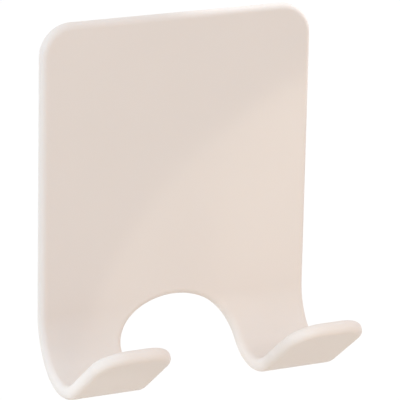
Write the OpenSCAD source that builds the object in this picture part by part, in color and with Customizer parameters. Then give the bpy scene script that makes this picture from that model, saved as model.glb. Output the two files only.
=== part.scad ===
// Stick-on razor holder: a flat back plate that runs into two J-shaped hooks, with a pad of
// double-sided foam tape on its back. Millimetres, +Z up, the wall at y = 0, the front towards -Y,
// and the origin at the middle of the pad's wall side.

/* [Plate] */
// Width of the plate, and across both hooks
plate_w = 52; // [50:1:66]
// Height of the flat part of the plate, from its top edge to where it starts to bend forward
plate_h = 52.5; // [50:0.5:66]
// Wall thickness of the moulding
wall_t = 2.5; // [1.8:0.1:3.2]
// Radius of the plate's top corners
plate_corner_r = 5.8; // [2:0.2:12]
// Rounding along the edges of the moulding, as far as the wall has room for it
edge_r = 1.1; // [0.2:0.1:1.5]

/* [Hooks] */
// Radius of the bend that leads out of the plate, on its front face
upper_bend_r = 10.8; // [8:0.2:20]
// Angle of that bend
upper_bend_angle = 48; // [40:1:65]
// Radius inside the trough that the razor's head lies in
trough_r = 6.8; // [4:0.1:10]
// Angle that the trough turns through
trough_angle = 80; // [60:1:95]
// Length of the lips, from the trough to their free edge
lip_l = 16.2; // [10:0.2:24]
// Radius of the lips' corners
lip_corner_r = 5.6; // [2:0.2:6.2]

/* [Notch] */
// Width of the notch between the hooks, for the razor's handle
notch_w = 22.5; // [14:0.1:26]
// Distance from the end of the plate's flat part up to the crown of the arch
notch_rise = 0.8; // [0:0.1:4]
// Height of the arch, along the wall
arch_h = 9.5; // [6:0.1:12]

/* [Tape pad] */
// Width of the pad
pad_w = 44; // [30:1:46]
// Height of the pad
pad_h = 42; // [30:1:43]
// Radius of the pad's corners
pad_corner_r = 3; // [1:0.5:8]
// Thickness of the foam core
foam_t = 1; // [0.6:0.1:2]
// Thickness of each coat of adhesive
adhesive_t = 0.1; // [0.05:0.01:0.2]

/* [Release liner] */
// Thickness of the liner
liner_t = 0.1; // [0.05:0.01:0.2]
// Width of the finger tab
tab_w = 14; // [8:1:24]
// Length of the finger tab below the pad
tab_l = 3; // [2:0.5:4]
// Radius of the finger tab's corners
tab_corner_r = 1.5; // [0.5:0.1:2]

/* [Hidden] */
$fn = 96;

// Steps in each rounded corner, in half the arch, from the arch to the lips and in the rounding of an edge
corner_steps = 10;
arch_steps = 14;
hook_steps = 18;
edge_steps = 5;

// Narrowest flat strip along the middle of an edge
edge_flat = 0.2;

plastic = [0.92, 0.87, 0.82];
foam = [0.95, 0.95, 0.94];
adhesive = [0.93, 0.92, 0.86];
paper = [0.97, 0.95, 0.88];

// Wall side of each layer behind the plate, and the plate's own back
wall_adhesive_y = -liner_t;
foam_y = wall_adhesive_y - adhesive_t;
plate_adhesive_y = foam_y - foam_t;
plate_y = plate_adhesive_y - adhesive_t;

// The moulding is a wall of even thickness that is bent twice. A point of it is given by x across, by s along
// the middle of the wall from the plate's top edge, and by n from the middle of the wall to the front.
upper_mid_r = upper_bend_r + wall_t / 2;
trough_mid_r = trough_r + wall_t / 2;
lip_angle = upper_bend_angle + trough_angle;
trough_s = plate_h + upper_mid_r * upper_bend_angle * PI / 180;
lip_s = trough_s + trough_mid_r * trough_angle * PI / 180;
end_s = lip_s + lip_l;

// Angle that the wall has turned forward at s
function heading(s) =
    s < plate_h ? 0 :
    s < trough_s ? upper_bend_angle * (s - plate_h) / (trough_s - plate_h) :
    s < lip_s ? upper_bend_angle + trough_angle * (s - trough_s) / (lip_s - trough_s) :
    lip_angle;

// Way in [y, z] along an arc of radius r between two headings
function arc_way(r, from, to) = r * [cos(to) - cos(from), sin(from) - sin(to)];

// The middle of the wall in [y, z], where each stretch starts and at any s
bend_start = [0, -plate_h];
trough_start = bend_start + arc_way(upper_mid_r, 0, upper_bend_angle);
lip_start = trough_start + arc_way(trough_mid_r, upper_bend_angle, lip_angle);
function middle(s) =
    s < plate_h ? [0, -s] :
    s < trough_s ? bend_start + arc_way(upper_mid_r, 0, heading(s)) :
    s < lip_s ? trough_start + arc_way(trough_mid_r, upper_bend_angle, heading(s)) :
    lip_start - (s - lip_s) * [sin(lip_angle), cos(lip_angle)];

function place(x, s, n) = [
    x,
    middle(s)[0] - n * cos(heading(s)),
    middle(s)[1] + n * sin(heading(s))
];

// The right half of the wall's outline, as [x, s, way out of the wall in x, way out in s]. It comes in rows
// from the top edge down. Below the crown of the arch, a row has a point on either side of the hook.
half_w = plate_w / 2;
half_notch = notch_w / 2;
arch_s = plate_h - notch_rise;
spring_s = arch_s + arch_h;

// Angles from 0 to 90 degrees
function quarter_turn(steps) = [for (k = [0:steps]) 90 * k / steps];

// Way out of the arch at angle a from its crown, square to its ellipse
function arch_out(a) =
    let (v = [-arch_h * sin(a), half_notch * cos(a)])
    v / norm(v);

top_rows = [
    for (a = quarter_turn(corner_steps))
        [half_w - plate_corner_r * (1 - sin(a)), plate_corner_r * (1 - cos(a)), sin(a), -cos(a)]
];
arch_rows = [
    for (a = quarter_turn(arch_steps))
        let (out = arch_out(a))
        [half_notch * sin(a), arch_s + arch_h * (1 - cos(a)), out[0], out[1]]
];
// Levels of the rows between the arch and the lips
hook_s = [for (k = [1:hook_steps]) spring_s + (lip_s - spring_s) * k / hook_steps];
lip_corner_s = end_s - lip_corner_r;

outer_rows = concat(
    top_rows,
    [for (row = arch_rows) [half_w, row[1], 1, row[3]]],
    [for (s = hook_s) [half_w, s, 1, 0]],
    [for (a = quarter_turn(corner_steps))
        [half_w - lip_corner_r * (1 - cos(a)), lip_corner_s + lip_corner_r * sin(a), cos(a), sin(a)]]
);
inner_rows = concat(
    arch_rows,
    [for (s = hook_s) [half_notch, s, -1, 0]],
    [for (a = quarter_turn(corner_steps))
        [half_notch + lip_corner_r * (1 - cos(a)), lip_corner_s + lip_corner_r * sin(a), -cos(a), sin(a)]]
);

// The whole outline, clockwise as seen from the front. The halves share one point, the crown of the arch.
function mirrored(p) = [-p[0], p[1], -p[2], p[3]];
outer_n = len(outer_rows);
inner_n = len(inner_rows);
outline = concat(
    outer_rows,
    [for (k = [inner_n - 1:-1:0]) inner_rows[k]],
    [for (k = [1:inner_n - 1]) mirrored(inner_rows[k])],
    [for (k = [outer_n - 1:-1:0]) mirrored(outer_rows[k])]
);
outline_n = len(outline);

// The row of the crown, and the places in the outline of the points of row k. Inner rows count from
// the crown.
crown_row = outer_n - inner_n;
function right_outer(k) = k;
function right_inner(k) = outer_n + inner_n - 1 - k;
function left_inner(k) = outer_n + inner_n - 1 + k;
function left_outer(k) = outline_n - 1 - k;

// Loops of the outline around the edge, as [inset, n], from the back face to the front face. A strip as wide
// as edge_flat stays flat along the middle of a wall that is too thin for the full rounding.
edge_round = min(edge_r, (wall_t - edge_flat) / 2);
front_edge = [
    for (a = quarter_turn(edge_steps))
        [edge_round * (1 - sin(a)), wall_t / 2 - edge_round * (1 - cos(a))]
];
loops = concat(
    [for (loop = front_edge) [loop[0], -loop[1]]],
    [for (k = [edge_steps:-1:0]) front_edge[k]]
);
wall_points = [
    for (loop = loops, p = outline)
        place(p[0] - loop[0] * p[2], p[1] - loop[0] * p[3], loop[1])
];

// Triangles, clockwise as seen from outside
function halves(a, b, c, d) = [[a, b, c], [a, c, d]];
front_faces = concat(
    [for (k = [0:crown_row - 2])
        each halves(left_outer(k), right_outer(k), right_outer(k + 1), left_outer(k + 1))],
    [
        [left_outer(crown_row - 1), right_outer(crown_row - 1), right_inner(0)],
        [right_outer(crown_row - 1), right_outer(crown_row), right_inner(0)],
        [left_outer(crown_row), left_outer(crown_row - 1), right_inner(0)]
    ],
    [for (k = [0:inner_n - 2])
        let (row = crown_row + k)
        each concat(
            halves(right_inner(k), right_outer(row), right_outer(row + 1), right_inner(k + 1)),
            halves(left_outer(row), left_inner(k), left_inner(k + 1), left_outer(row + 1))
        )]
);
front_loop = (len(loops) - 1) * outline_n;
edge_faces = [
    for (loop = [0:len(loops) - 2], k = [0:outline_n - 1])
        let (here = loop * outline_n + k, next = loop * outline_n + (k + 1) % outline_n)
        each halves(here + outline_n, here, next, next + outline_n)
];
wall_faces = concat(
    [for (f = front_faces) [f[2], f[1], f[0]]],
    edge_faces,
    [for (f = front_faces) f + front_loop * [1, 1, 1]]
);

// Rectangle about the origin with rounded corners
module rounded_rect(w, h, r) {
    square([w - 2 * r, h], center = true);
    square([w, h - 2 * r], center = true);
    for (x = [-1, 1], y = [-1, 1])
        translate([x * (w / 2 - r), y * (h / 2 - r)])
            circle(r);
}

// Flat layer of the tape, t thick, with its wall side at y
module tape_layer(y, t) {
    translate([0, y, 0])
        rotate([90, 0, 0])
            linear_extrude(t)
                children();
}

module pad_outline() {
    rounded_rect(pad_w, pad_h, pad_corner_r);
}

// The upper corners of the tab's outline lie inside the pad
module tab_outline() {
    tab_h = tab_l + 2 * tab_corner_r;
    translate([0, tab_h / 2 - tab_l - pad_h / 2])
        rounded_rect(tab_w, tab_h, tab_corner_r);
}

module holder_body() {
    color(plastic)
        translate([0, plate_y - wall_t / 2, plate_h / 2])
            polyhedron(wall_points, wall_faces);
}

module plate_adhesive() {
    color(adhesive)
        tape_layer(plate_adhesive_y, adhesive_t)
            pad_outline();
}

module foam_core() {
    color(foam)
        tape_layer(foam_y, foam_t)
            pad_outline();
}

module wall_adhesive() {
    color(adhesive)
        tape_layer(wall_adhesive_y, adhesive_t)
            pad_outline();
}

module release_liner() {
    color(paper)
        tape_layer(0, liner_t) {
            pad_outline();
            tab_outline();
        }
}

holder_body();
plate_adhesive();
foam_core();
wall_adhesive();
release_liner();
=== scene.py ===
import bmesh
import bpy
import numpy as np
from mathutils import Matrix, Vector


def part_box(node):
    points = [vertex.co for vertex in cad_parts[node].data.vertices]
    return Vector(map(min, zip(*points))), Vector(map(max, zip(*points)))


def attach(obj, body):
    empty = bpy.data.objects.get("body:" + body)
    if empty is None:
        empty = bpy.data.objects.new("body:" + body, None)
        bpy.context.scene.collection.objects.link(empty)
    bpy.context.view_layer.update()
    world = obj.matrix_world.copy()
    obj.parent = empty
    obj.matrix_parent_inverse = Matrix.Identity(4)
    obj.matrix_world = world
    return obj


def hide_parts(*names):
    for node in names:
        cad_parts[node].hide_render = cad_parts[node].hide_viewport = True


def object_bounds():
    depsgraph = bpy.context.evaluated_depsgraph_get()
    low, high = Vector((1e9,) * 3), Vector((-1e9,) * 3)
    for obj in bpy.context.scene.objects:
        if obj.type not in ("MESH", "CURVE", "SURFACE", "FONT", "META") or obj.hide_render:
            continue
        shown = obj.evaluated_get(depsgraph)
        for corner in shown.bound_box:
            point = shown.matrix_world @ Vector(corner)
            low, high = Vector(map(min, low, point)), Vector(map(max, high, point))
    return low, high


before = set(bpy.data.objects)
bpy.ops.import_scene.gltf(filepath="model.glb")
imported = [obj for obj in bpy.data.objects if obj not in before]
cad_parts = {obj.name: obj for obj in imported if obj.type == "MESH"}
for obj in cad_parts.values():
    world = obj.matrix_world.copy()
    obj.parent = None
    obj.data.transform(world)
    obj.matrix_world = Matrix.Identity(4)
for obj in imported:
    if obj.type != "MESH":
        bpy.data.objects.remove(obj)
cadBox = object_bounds()
print("frame loaded:", ", ".join(sorted(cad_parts)))

mm = 0.001
weldGap = 0.001 * mm   # points nearer than this become one


# Quads of a grid of points that is stored row by row
def gridFaces(rows, columns):
    k, j = np.meshgrid(np.arange(rows - 1), np.arange(columns - 1), indexing="ij")
    corner = (k * columns + j).ravel()
    return np.stack([corner, corner + 1, corner + columns + 1, corner + columns], axis=1)


# One mesh from several grids of points (rows x columns x 3), with its seams and poles welded and its faces
# turned outwards
def makePiece(name, grids, material):
    starts = np.cumsum([0] + [g.shape[0] * g.shape[1] for g in grids])
    points = np.concatenate([g.reshape(-1, 3) for g in grids])
    faces = np.concatenate([gridFaces(*g.shape[:2]) + start for g, start in zip(grids, starts)])
    mesh = bpy.data.meshes.new(name)
    mesh.from_pydata(points.tolist(), [], faces.tolist())
    shell = bmesh.new()
    shell.from_mesh(mesh)
    bmesh.ops.remove_doubles(shell, verts=shell.verts, dist=weldGap)
    bmesh.ops.recalc_face_normals(shell, faces=shell.faces)
    shell.to_mesh(mesh)
    shell.free()
    mesh.shade_smooth()
    mesh.materials.append(material)
    piece = bpy.data.objects.new(name, mesh)
    bpy.context.scene.collection.objects.link(piece)
    print(name, "has", len(mesh.vertices), "points and", len(mesh.polygons), "faces")
    return piece


# Hangs a finished piece on its body in place of its CAD node
def seatPiece(piece, body, node):
    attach(piece, body)
    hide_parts(node)


# Angles from 0 to a right angle
def quarterTurn(steps):
    return np.linspace(0, np.pi / 2, steps + 1)


# A material with its shader, and the Object coordinates that its patterns read
def startMaterial(name):
    material = bpy.data.materials.new(name)
    material.use_nodes = True
    tree = material.node_tree
    shader = tree.nodes["Principled BSDF"]
    place = tree.nodes.new("ShaderNodeTexCoord").outputs["Object"]
    return material, tree, shader, place


# Soft noise from 0 to 1
def addNoise(tree, place, grainSize, detail):
    noise = tree.nodes.new("ShaderNodeTexNoise")
    noise.inputs["Scale"].default_value = 1 / grainSize
    noise.inputs["Detail"].default_value = detail
    tree.links.new(place, noise.inputs["Vector"])
    return noise.outputs["Fac"]


# Round cells: 0 in the middle of each, rising to its walls
def addCells(tree, place, cellSize):
    cells = tree.nodes.new("ShaderNodeTexVoronoi")
    cells.feature = "SMOOTH_F1"
    cells.inputs["Scale"].default_value = 1 / cellSize
    tree.links.new(place, cells.inputs["Vector"])
    return cells.outputs["Distance"]


# A vector range's sockets have the same names as a plain one's, so they go by number
vectorRange = {"fromMin": 7, "toMin": 9, "toMax": 10}


# Colour that runs from low, where the share is at start, to high, where it is 1
def mixColours(tree, share, low, high, target, start=0):
    ramp = tree.nodes.new("ShaderNodeMapRange")
    ramp.data_type = "FLOAT_VECTOR"
    tree.links.new(share, ramp.inputs["Vector"])
    ramp.inputs[vectorRange["fromMin"]].default_value = (start, start, start)
    ramp.inputs[vectorRange["toMin"]].default_value = low
    ramp.inputs[vectorRange["toMax"]].default_value = high
    tree.links.new(ramp.outputs["Vector"], target)


# Value that runs from low to high with the share
def spreadValue(tree, share, low, high, target):
    spread = tree.nodes.new("ShaderNodeMapRange")
    spread.inputs["To Min"].default_value = low
    spread.inputs["To Max"].default_value = high
    tree.links.new(share, spread.inputs["Value"])
    tree.links.new(spread.outputs["Result"], target)


# Bump of a depth in metres, on top of a coarser one if there is one
def addBump(tree, height, depth, below=None):
    bump = tree.nodes.new("ShaderNodeBump")
    bump.inputs["Distance"].default_value = depth
    tree.links.new(height, bump.inputs["Height"])
    if below:
        tree.links.new(below, bump.inputs["Normal"])
    return bump.outputs["Normal"]


# Cream moulded plastic
plastic = {
    "paleCream": (0.777, 0.692, 0.632),
    "deepCream": (0.753, 0.668, 0.608),
    "tintSize": 18 * mm,
    "tintDetail": 2,
    "satinLow": 0.38,         # roughness where it shines most
    "satinHigh": 0.46,
    "satinSize": 6 * mm,
    "satinDetail": 3,
    "grainSize": 0.16 * mm,
    "grainDetail": 2,
    "grainDepth": 0.004 * mm,
    "swellSize": 12 * mm,
    "swellDetail": 1,
    "swellDepth": 0.02 * mm,
    "glow": 0.12,             # share of the light that scatters inside the wall
    "glowReach": 1.2 * mm,
    "glowTint": (1.0, 0.8, 0.6),
}


def creamPlastic():
    material, tree, shader, place = startMaterial("creamPlastic")
    tint = addNoise(tree, place, plastic["tintSize"], plastic["tintDetail"])
    mixColours(tree, tint, plastic["deepCream"], plastic["paleCream"], shader.inputs["Base Color"])
    satin = addNoise(tree, place, plastic["satinSize"], plastic["satinDetail"])
    spreadValue(tree, satin, plastic["satinLow"], plastic["satinHigh"], shader.inputs["Roughness"])
    swell = addNoise(tree, place, plastic["swellSize"], plastic["swellDetail"])
    grain = addNoise(tree, place, plastic["grainSize"], plastic["grainDetail"])
    swellBump = addBump(tree, swell, plastic["swellDepth"])
    tree.links.new(addBump(tree, grain, plastic["grainDepth"], swellBump), shader.inputs["Normal"])
    shader.inputs["Subsurface Weight"].default_value = plastic["glow"]
    shader.inputs["Subsurface Scale"].default_value = plastic["glowReach"]
    shader.inputs["Subsurface Radius"].default_value = plastic["glowTint"]
    return material


# White closed-cell foam
foam = {
    "cellWhite": (0.86, 0.86, 0.84),
    # painted shade, laid in the hollow middle of each cell
    "paintedPitShade": (0.66, 0.66, 0.64),
    "cellSize": 0.28 * mm,
    "cellDepth": 0.06 * mm,
    "rough": 0.85,
    "inset": 0.12 * mm,       # how far the cut edge lies inside the adhesive at its two faces
}


def foamCells():
    material, tree, shader, place = startMaterial("foamCells")
    cells = addCells(tree, place, foam["cellSize"])
    # Painted shade: the colour darkens towards the middle of each cell, where the bump below makes a hollow
    mixColours(tree, cells, foam["paintedPitShade"], foam["cellWhite"], shader.inputs["Base Color"])
    tree.links.new(addBump(tree, cells, foam["cellDepth"]), shader.inputs["Normal"])
    shader.inputs["Roughness"].default_value = foam["rough"]
    return material


# Tacky pale amber adhesive
adhesive = {
    "thinAmber": (0.82, 0.76, 0.65),
    "thickAmber": (0.77, 0.69, 0.55),
    "streakSize": 5 * mm,
    "streakDetail": 3,
    "rippleSize": 0.7 * mm,
    "rippleDetail": 2,
    "rippleDepth": 0.02 * mm,
    "glossLow": 0.12,         # roughness where it is glossiest
    "glossHigh": 0.3,
    "wetCoat": 0.3,
    "edgeR": 0.03 * mm,
}


def tackyAdhesive():
    material, tree, shader, place = startMaterial("tackyAdhesive")
    streak = addNoise(tree, place, adhesive["streakSize"], adhesive["streakDetail"])
    mixColours(tree, streak, adhesive["thickAmber"], adhesive["thinAmber"], shader.inputs["Base Color"])
    ripple = addNoise(tree, place, adhesive["rippleSize"], adhesive["rippleDetail"])
    spreadValue(tree, ripple, adhesive["glossLow"], adhesive["glossHigh"], shader.inputs["Roughness"])
    tree.links.new(addBump(tree, ripple, adhesive["rippleDepth"]), shader.inputs["Normal"])
    shader.inputs["Coat Weight"].default_value = adhesive["wetCoat"]
    return material


# Siliconised paper
liner = {
    "paperPale": (0.91, 0.87, 0.79),
    "paperDeep": (0.86, 0.81, 0.72),
    "cloudSize": 3.5 * mm,
    "cloudDetail": 4,
    "fibreSize": 0.25 * mm,
    "fibreDetail": 4,
    "fibreDepth": 0.006 * mm,
    "sheenLow": 0.36,         # roughness where it is smoothest
    "sheenHigh": 0.52,
    "edgeR": 0.03 * mm,
    "tabW": 14 * mm,
    "tabL": 3 * mm,
    "tabCornerR": 1.5 * mm,
    "tabFillet": 0.5 * mm,
    "tabLift": 0.4 * mm,      # how far the tab's free edge stands off towards the plate
}


def linerPaper():
    material, tree, shader, place = startMaterial("linerPaper")
    cloud = addNoise(tree, place, liner["cloudSize"], liner["cloudDetail"])
    mixColours(tree, cloud, liner["paperDeep"], liner["paperPale"], shader.inputs["Base Color"])
    fibre = addNoise(tree, place, liner["fibreSize"], liner["fibreDetail"])
    spreadValue(tree, fibre, liner["sheenLow"], liner["sheenHigh"], shader.inputs["Roughness"])
    tree.links.new(addBump(tree, fibre, liner["fibreDepth"]), shader.inputs["Normal"])
    return material


# Bent moulding: plate, hooks and notch
holder = {
    "wallT": 2.5 * mm,
    "topCornerR": 5.8 * mm,
    "edgeR": 1.1 * mm,
    "bendR": 10.8 * mm,       # on the front face
    "bendTurn": np.radians(48),
    "troughR": 6.8 * mm,      # inside the trough
    "troughTurn": np.radians(80),
    "lipL": 16.2 * mm,
    "lipCornerR": 5.6 * mm,
    "notchW": 22.5 * mm,
    "notchRise": 0.8 * mm,    # from the end of the flat up to the crown of the arch
    "archH": 9.5 * mm,
    "support": 0.15 * mm,     # width of the narrow strip beside each rounded edge
    "cornerSteps": 18,
    "flatSteps": 16,
    "archSteps": 32,
    "bendSteps": 4,
    "troughSteps": 24,
    "lipSteps": 6,
    "acrossSteps": 14,
    "edgeSteps": 8,
}
holderLow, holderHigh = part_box("holder_body")
halfT = holder["wallT"] / 2
plateW = holderHigh.x - holderLow.x
plateH = 2 * holderHigh.z              # the flat part is centred on the origin
wallY = holderHigh.y - halfT           # middle of the plate's wall
bendMidR = holder["bendR"] + halfT
troughMidR = holder["troughR"] + halfT
lipTurn = holder["bendTurn"] + holder["troughTurn"]
troughS = plateH + bendMidR * holder["bendTurn"]
lipS = troughS + troughMidR * holder["troughTurn"]
lipCornerS = lipS + holder["lipL"] - holder["lipCornerR"]


# The wall's middle line runs down the plate, along an arc, round a second arc and straight up the lip.
# A point lies x across, s along that line from the top edge, and n off it to the front, square to the wall.
def bentWall(x, s, n):
    bend = np.clip(s - plateH, 0, troughS - plateH) / bendMidR
    trough = np.clip(s - troughS, 0, lipS - troughS) / troughMidR
    lip = np.clip(s - lipS, 0, None)
    turn = bend + trough
    troughTurned = holder["bendTurn"] + trough
    y = bendMidR * (np.cos(bend) - 1) - lip * np.sin(lipTurn)
    y = y + troughMidR * (np.cos(troughTurned) - np.cos(holder["bendTurn"]))
    z = -np.minimum(s, plateH) - bendMidR * np.sin(bend) - lip * np.cos(lipTurn)
    z = z + troughMidR * (np.sin(holder["bendTurn"]) - np.sin(troughTurned))
    across = x + 0 * (s + n)
    return np.stack([across, wallY + y - n * np.cos(turn), plateH / 2 + z + n * np.sin(turn)], axis=-1)


# Edges of the right half, row by row from the top: x, s and the way out of the wall in x and s.
# The arch is half an ellipse along the wall, and the corners are quarter circles.
def halfEdges():
    halfW = plateW / 2
    halfNotch = holder["notchW"] / 2
    archS = plateH - holder["notchRise"]
    springS = archS + holder["archH"]
    topR, lipR = holder["topCornerR"], holder["lipCornerR"]
    corner = quarterTurn(holder["cornerSteps"])
    arch = quarterTurn(holder["archSteps"])
    flatEnd = archS - holder["edgeR"] - holder["support"]
    flatS = np.linspace(topR, flatEnd, holder["flatSteps"] + 1)[1:]
    archRowS = archS + holder["archH"] * (1 - np.cos(arch))
    archOut = np.stack([-holder["archH"] * np.sin(arch), halfNotch * np.cos(arch)])
    archOut = archOut / np.linalg.norm(archOut, axis=0)
    hookS = np.concatenate([
        np.linspace(springS, troughS, holder["bendSteps"] + 1)[1:],
        np.linspace(troughS, lipS, holder["troughSteps"] + 1)[1:],
        np.linspace(lipS, lipCornerS, holder["lipSteps"] + 1)[1:-1],
    ])
    lipEndS = lipCornerS + lipR * np.sin(corner)
    one, none = np.ones_like, np.zeros_like
    topX, topS = halfW - topR * (1 - np.sin(corner)), topR * (1 - np.cos(corner))
    top = np.stack([topX, topS, np.sin(corner), -np.cos(corner)])
    flat = np.stack([halfW * one(flatS), flatS, one(flatS), none(flatS)])
    besideArch = np.stack([halfW * one(arch), archRowS, one(arch), archOut[1]])
    outerHook = np.stack([halfW * one(hookS), hookS, one(hookS), none(hookS)])
    outerLipX = halfW - lipR * (1 - np.cos(corner))
    outerLip = np.stack([outerLipX, lipEndS, np.cos(corner), np.sin(corner)])
    crown = np.stack([halfNotch * np.sin(arch), archRowS, archOut[0], archOut[1]])
    innerHook = np.stack([halfNotch * one(hookS), hookS, -one(hookS), none(hookS)])
    innerLipX = halfNotch + lipR * (1 - np.cos(corner))
    innerLip = np.stack([innerLipX, lipEndS, -np.cos(corner), np.sin(corner)])
    outer = np.concatenate([top, flat, besideArch, outerHook, outerLip], axis=1)
    inner = np.concatenate([crown, innerHook, innerLip], axis=1)
    return outer, inner


# Front and back are grids of level rows that end where the edges start to round, and the rim is a rounded
# profile carried along the border of those grids. Above the notch the rows start on the plane of symmetry.
def holderGrids():
    edgeR, support = holder["edgeR"], holder["support"]
    outer, inner = halfEdges()
    crownRow = outer.shape[1] - inner.shape[1]
    rowS = outer[1] - edgeR * outer[3]
    endX = outer[0] - edgeR * outer[2]
    startX = np.concatenate([np.zeros(crownRow), inner[0] - edgeR * inner[2]])
    share = np.linspace(0, 1, holder["acrossSteps"] + 1)
    between = (startX + support)[:, None] + (endX - startX - 2 * support)[:, None] * share
    x = np.concatenate([startX[:, None], between, endX[:, None]], axis=1)
    s = rowS[:, None] + 0 * x
    front = bentWall(x, s, halfT)
    back = bentWall(x, s, -halfT)

    topEdge, lipEdge = np.zeros(x.shape[1]), np.zeros(x.shape[1] - 1)
    rimX = np.concatenate([x[0], x[1:, -1], x[-1, -2::-1], x[-2:crownRow - 1:-1, 0]])
    rimS = np.concatenate([s[0], s[1:, -1], s[-1, -2::-1], s[-2:crownRow - 1:-1, 0]])
    outX = np.concatenate([topEdge, outer[2, 1:], lipEdge, inner[2, -2::-1]])
    outS = np.concatenate([topEdge - 1, outer[3, 1:], lipEdge + 1, inner[3, -2::-1]])
    edgeTurn = quarterTurn(holder["edgeSteps"])
    reach = edgeR * np.concatenate([np.sin(edgeTurn), np.sin(edgeTurn[::-1])])
    height = halfT - edgeR * (1 - np.cos(edgeTurn))
    height = np.concatenate([height, -height[::-1]])
    rim = bentWall(rimX[:, None] + outX[:, None] * reach, rimS[:, None] + outS[:, None] * reach, height)
    right = [front, back, rim]
    left = [g * (-1, 1, 1) for g in right]
    return right + left


moulding = makePiece("bentMoulding", holderGrids(), creamPlastic())
seatPiece(moulding, "holder", "holder_body")


# Tape pad: two coats of adhesive on a foam core, with the liner on the wall side
pad = {
    "cornerR": 3 * mm,
    "cornerSteps": 12,
    "edgeSteps": 5,
    "capShares": (0, 0.3, 0.6, 0.8, 0.86, 0.9, 0.94, 0.97),   # rings of a flat face, from its middle
}


# An outline from arcs in turn, joined by straight lines: its points and the ways out of it. An arc is the
# x and z of its centre, its radius, negative in a hollow corner, and its first and last angle in degrees.
def arcOutline(arcs):
    share = np.linspace(0, 1, pad["cornerSteps"] + 1)
    x, z, r, first, last = np.array(arcs, float).T
    angle = np.radians(first[:, None] + (last - first)[:, None] * share)
    out = np.stack([np.cos(angle), np.sin(angle)], axis=-1)
    points = np.stack([x, z], axis=-1)[:, None] + np.abs(r)[:, None, None] * out
    out = out * np.sign(r)[:, None, None]
    return points.reshape(-1, 2), out.reshape(-1, 2)


# A rectangle about the origin with a quarter circle at each corner
def padArcs(halfW, halfH):
    r = pad["cornerR"]
    x, z = halfW - r, halfH - r
    return [(x, -z, r, -90, 0), (x, z, r, 0, 90), (-x, z, r, 90, 180), (-x, -z, r, 180, 270)]


# The finger tab hangs from the middle of the pad's lower edge, with hollow corners where it leaves it
def tabArcs(halfH):
    x, r, fillet = liner["tabW"] / 2, liner["tabCornerR"], liner["tabFillet"]
    rootX, rootZ = x + fillet, -halfH - fillet
    tipX, tipZ = x - r, -halfH - liner["tabL"] + r
    leftRoot = (-rootX, rootZ, -fillet, 90, 0)
    rightRoot = (rootX, rootZ, -fillet, 180, 90)
    return [leftRoot, (-tipX, tipZ, r, 180, 270), (tipX, tipZ, r, 270, 360), rightRoot]


# A flat layer: rings grow from the middle of the wall side to the outline, a profile of insets carries
# the outline across the thickness, and rings shrink again to the middle of the plate side.
def layerGrid(arcs, wallSide, plateSide, insets, depths):
    points, out = arcOutline(arcs)
    points = np.concatenate([points, points[:1]])
    out = np.concatenate([out, out[:1]])
    caps = np.array(pad["capShares"])
    scale = np.concatenate([caps, np.ones(len(insets)), caps[::-1]])
    inset = np.concatenate([caps * 0 + insets[0], insets, caps * 0 + insets[-1]])
    depth = np.concatenate([caps * 0, depths, caps * 0 + 1])
    flat = scale[:, None] * (points[:, None] - inset[:, None] * out[:, None])
    y = wallSide + (plateSide - wallSide) * depth + 0 * flat[..., 0]
    return np.stack([flat[..., 0], y, flat[..., 1]], axis=-1)


# Insets and depths across a layer t thick whose two edges have radius r
def roundedProfile(t, r):
    turn = quarterTurn(pad["edgeSteps"])
    insets = r * (1 - np.sin(turn))
    depths = r * (1 - np.cos(turn)) / t
    return np.concatenate([insets, insets[::-1]]), np.concatenate([depths, 1 - depths[::-1]])


# Insets and depths across foam that is pinched at its two faces and swells between them as half a sine wave
def foamProfile():
    depths = np.linspace(0, 1, 2 * pad["edgeSteps"] + 1)
    return foam["inset"] * (1 - np.sin(np.pi * depths)), depths


tapeLow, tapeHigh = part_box("foam_core")
padHalfW, padHalfH = tapeHigh.x, tapeHigh.z
plainArcs = padArcs(padHalfW, padHalfH)

foamGrid = layerGrid(plainArcs, tapeHigh.y, tapeLow.y, *foamProfile())
foamPad = makePiece("foamCore", [foamGrid], foamCells())
seatPiece(foamPad, "holder", "foam_core")

amber = tackyAdhesive()
for name, node in (("plateAdhesive", "plate_adhesive"), ("wallAdhesive", "wall_adhesive")):
    low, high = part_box(node)
    coatGrid = layerGrid(plainArcs, high.y, low.y, *roundedProfile(high.y - low.y, adhesive["edgeR"]))
    coat = makePiece(name, [coatGrid], amber)
    seatPiece(coat, "holder", node)

# The tab's free edge lifts off the wall plane by the square of the way down from the pad
linerLow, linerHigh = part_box("release_liner")
linerT = linerHigh.y - linerLow.y
linerArcs = plainArcs + tabArcs(padHalfH)
linerGrid = layerGrid(linerArcs, linerHigh.y, linerLow.y, *roundedProfile(linerT, liner["edgeR"]))
below = np.clip(-padHalfH - linerGrid[..., 2], 0, None) / liner["tabL"]
linerGrid[..., 1] -= liner["tabLift"] * below ** 2
paper = makePiece("releaseLiner", [linerGrid], linerPaper())
seatPiece(paper, "liner", "release_liner")


# Floor, background and light
studio = {
    "floorGap": 36 * mm,      # below the hooks
    "floorSide": 4.0,
    "floorTint": (0.72, 0.65, 0.57),
    "floorRough": 1,
    "floorGloss": 0,
    "floorGlow": 0.386,
    "glowTint": (0.718, 0.855, 1.0),  # makes up for the floor's own tint
    "white": (1, 1, 1),
    "fromLeft": (0.90, 1.00, 1.05),   # each side's light fades evenly to nothing at the opposite side
    "fromRight": (0.985, 0.95, 0.995),
    "fromBelow": (0.38, 0.31, 0.23),
    "fromAbove": (0.01, 0.01, 0.01),
}


# 1 for rays that show the background itself: from the camera, in a gloss and on through what is clear
def backgroundRays(tree):
    path = tree.nodes.new("ShaderNodeLightPath")
    shown = path.outputs["Is Camera Ray"]
    for ray in ("Is Glossy Ray", "Is Transmission Ray"):
        either = tree.nodes.new("ShaderNodeMath")
        either.operation = "MAXIMUM"
        tree.links.new(shown, either.inputs[0])
        tree.links.new(path.outputs[ray], either.inputs[1])
        shown = either.outputs["Value"]
    return shown


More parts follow.
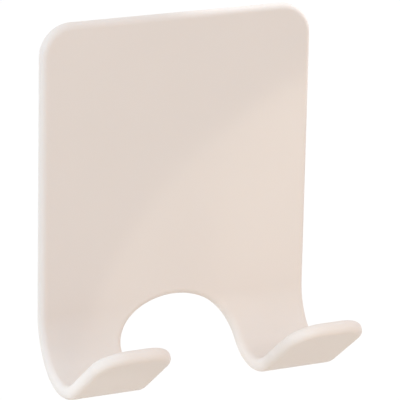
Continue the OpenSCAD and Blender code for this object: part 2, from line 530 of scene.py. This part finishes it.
# The first shader where the share is 0, and the second where it is 1
def mixShaders(tree, share, first, second, target):
    mix = tree.nodes.new("ShaderNodeMixShader")
    tree.links.new(share, mix.inputs["Fac"])
    tree.links.new(first, mix.inputs[1])
    tree.links.new(second, mix.inputs[2])
    tree.links.new(mix.outputs["Shader"], target)


# The light from any side is a mix of left and right by its x, plus a mix of below and above by its z.
# The background itself is white.
def lightWorld():
    world = bpy.data.worlds.new("whiteStudio")
    bpy.context.scene.world = world
    world.use_nodes = True
    tree = world.node_tree
    ambient = tree.nodes["Background"]
    way = tree.nodes.new("ShaderNodeSeparateXYZ")
    tree.links.new(tree.nodes.new("ShaderNodeTexCoord").outputs["Generated"], way.inputs["Vector"])
    total = tree.nodes.new("ShaderNodeVectorMath")
    mixColours(tree, way.outputs["X"], studio["fromLeft"], studio["fromRight"], total.inputs[0], start=-1)
    mixColours(tree, way.outputs["Z"], studio["fromBelow"], studio["fromAbove"], total.inputs[1], start=-1)
    tree.links.new(total.outputs["Vector"], ambient.inputs["Color"])
    white = tree.nodes.new("ShaderNodeBackground")
    white.inputs["Color"].default_value = (*studio["white"], 1)
    lit, plain = ambient.outputs["Background"], white.outputs["Background"]
    mixShaders(tree, backgroundRays(tree), lit, plain, tree.nodes["World Output"].inputs["Surface"])


# Seen from above, the floor's lit tint and a glow add up to white, so that it keeps the object's shadow.
# Seen from below it is clear.
def paleFloor():
    half = studio["floorSide"] / 2
    level = cadBox[0].z - studio["floorGap"]
    mesh = bpy.data.meshes.new("floor")
    corners = [(-half, -half, level), (half, -half, level), (half, half, level), (-half, half, level)]
    mesh.from_pydata(corners, [], [(0, 1, 2, 3)])
    floor = bpy.data.objects.new("floor", mesh)
    bpy.context.scene.collection.objects.link(floor)
    material = bpy.data.materials.new("paleFloor")
    material.use_nodes = True
    tree = material.node_tree
    shader = tree.nodes["Principled BSDF"]
    shader.inputs["Base Color"].default_value = (*studio["floorTint"], 1)
    shader.inputs["Roughness"].default_value = studio["floorRough"]
    shader.inputs["Specular IOR Level"].default_value = studio["floorGloss"]
    shader.inputs["Emission Color"].default_value = (*studio["glowTint"], 1)
    glow = tree.nodes.new("ShaderNodeMath")
    glow.operation = "MULTIPLY"
    glow.inputs[1].default_value = studio["floorGlow"]
    tree.links.new(backgroundRays(tree), glow.inputs[0])
    tree.links.new(glow.outputs["Value"], shader.inputs["Emission Strength"])
    clear = tree.nodes.new("ShaderNodeBsdfTransparent")
    side = tree.nodes.new("ShaderNodeNewGeometry")
    surface = tree.nodes["Material Output"].inputs["Surface"]
    mixShaders(tree, side.outputs["Backfacing"], shader.outputs["BSDF"], clear.outputs["BSDF"], surface)
    mesh.materials.append(material)


# Lamps: places, aims, sides and radii are in metres, cones in degrees and powers in watts
nearCamera = (-0.304, -0.622, 0.211)   # from here a lamp's shadows fall behind the object
lamps = {
    # cool light over the left sides
    "leftWindow": {"kind": "AREA", "place": (-0.7, 0.0, 0.12), "aim": (0, 0, -0.01),
                   "side": 0.4, "power": 1.55, "tint": (0.44, 0.70, 1.0)},
    # pale rim of the left lip
    "leftLip": {"kind": "SPOT", "place": (-0.536, -0.334, -0.001), "aim": (-0.026, -0.022, -0.033),
                "cone": 1.8, "blend": 1, "radius": 0.001, "power": 1.9, "tint": (0.82, 0.93, 1.0)},
    # pale rim of the left trough
    "leftTrough": {"kind": "SPOT", "place": (-0.45, -0.12, 0.3), "aim": (-0.025, -0.013, -0.036),
                   "cone": 2.0, "blend": 1, "radius": 0.002, "power": 1.4, "tint": (0.83, 0.93, 1.0)},
    # bright right end of the top edge
    "topEdge": {"kind": "SPOT", "place": (0.554, 0.103, 0.465), "aim": (0.022, -0.002, 0.024),
                "cone": 3.0, "blend": 0.8, "radius": 0.001, "power": 13, "tint": (0.78, 0.9, 1.0)},
    # warm patch over the lower right, with a clear border
    "warmPatch": {"kind": "SPOT", "place": nearCamera, "aim": (0.0688, -0.004, -0.068),
                  "cone": 12.45, "blend": 0.1, "radius": 0.001, "power": 1.4, "tint": (1.0, 0.95, 0.81)},
    # softer glow inside that patch, towards the right edge
    "rightGlow": {"kind": "SPOT", "place": nearCamera, "aim": (0.0604, -0.004, -0.0283),
                  "cone": 8.4, "blend": 0.5, "radius": 0.001, "power": 1.2, "tint": (1.0, 0.9, 0.73)},
    # weak fill for the undersides
    "lowFront": {"kind": "AREA", "place": (-0.1, -0.6, -0.04), "aim": (0, 0, -0.03),
                 "side": 0.3, "power": 0.22, "tint": (1.0, 0.95, 1.0)},
    # pale rim of the right hook beside the notch
    "rightRim": {"kind": "SPOT", "place": (-0.5, 0.26, -0.03), "aim": (0.0113, -0.015, -0.034),
                 "cone": 2.4, "blend": 1, "radius": 0.004, "power": 1.9, "tint": (0.83, 0.91, 1.0)},
}


# Hangs a lamp and turns it to its aim
def hangLamp(name, setting):
    light = bpy.data.lights.new(name, setting["kind"])
    light.energy = setting["power"]
    light.color = setting["tint"]
    if setting["kind"] == "SPOT":
        light.spot_size = np.radians(setting["cone"])
        light.spot_blend = setting["blend"]
        light.shadow_soft_size = setting["radius"]
    else:
        light.size = setting["side"]
    lamp = bpy.data.objects.new(name, light)
    lamp.location = setting["place"]
    lamp.rotation_euler = (Vector(setting["aim"]) - lamp.location).to_track_quat("-Z", "Y").to_euler()
    lamp.visible_glossy = False   # a gloss shows the white background alone
    bpy.context.scene.collection.objects.link(lamp)


for name, setting in lamps.items():
    hangLamp(name, setting)

lightWorld()
paleFloor()
print("floor, background and", len(lamps), "lamps are set")

# Camera at the photograph's angle
view = {
    "azimuth": np.radians(25.945),      # to the object's left
    "elevation": np.radians(17.13),
    "roll": np.radians(-1.182),
    "distance": 547.6 * mm,             # to the middle of the plate's top edge
    "rightOfAxis": -3.995 * mm,         # where that point lies off the lens axis
    "aboveAxis": 32.745 * mm,
    "pixelsPerMetre": 5726,             # at that distance
    "imageSide": 400,                   # in pixels
    "sensor": 36,                       # in millimetres
}


# The camera's axes come from its azimuth and elevation, and the roll then turns right and up about the lens.
# It stands back by the distance from the middle of the plate's top edge, less that point's way off the axis.
def aimCamera():
    azimuth, elevation, roll = view["azimuth"], view["elevation"], view["roll"]
    level = np.array([np.cos(azimuth), -np.sin(azimuth), 0])
    outward = np.array([-np.sin(azimuth), -np.cos(azimuth), 0])
    zenith = np.array([0, 0, 1])
    lifted = np.cos(elevation) * zenith - np.sin(elevation) * outward
    back = np.cos(elevation) * outward + np.sin(elevation) * zenith
    right = np.cos(roll) * level - np.sin(roll) * lifted
    up = np.sin(roll) * level + np.cos(roll) * lifted
    target = np.array([0, wallY, plateH / 2])
    place = target - view["rightOfAxis"] * right - view["aboveAxis"] * up + view["distance"] * back
    lens = bpy.data.cameras.new("camera")
    lens.sensor_width = view["sensor"]
    lens.lens = view["sensor"] * view["pixelsPerMetre"] * view["distance"] / view["imageSide"]
    camera = bpy.data.objects.new("camera", lens)
    turn = Matrix(np.stack([right, up, back], axis=1).tolist()).to_4x4()
    camera.matrix_world = Matrix.Translation(place.tolist()) @ turn
    bpy.context.scene.collection.objects.link(camera)
    bpy.context.scene.camera = camera
    print("lens is", round(lens.lens, 1), "mm")


aimCamera()
bpy.context.scene.view_settings.view_transform = "Standard"
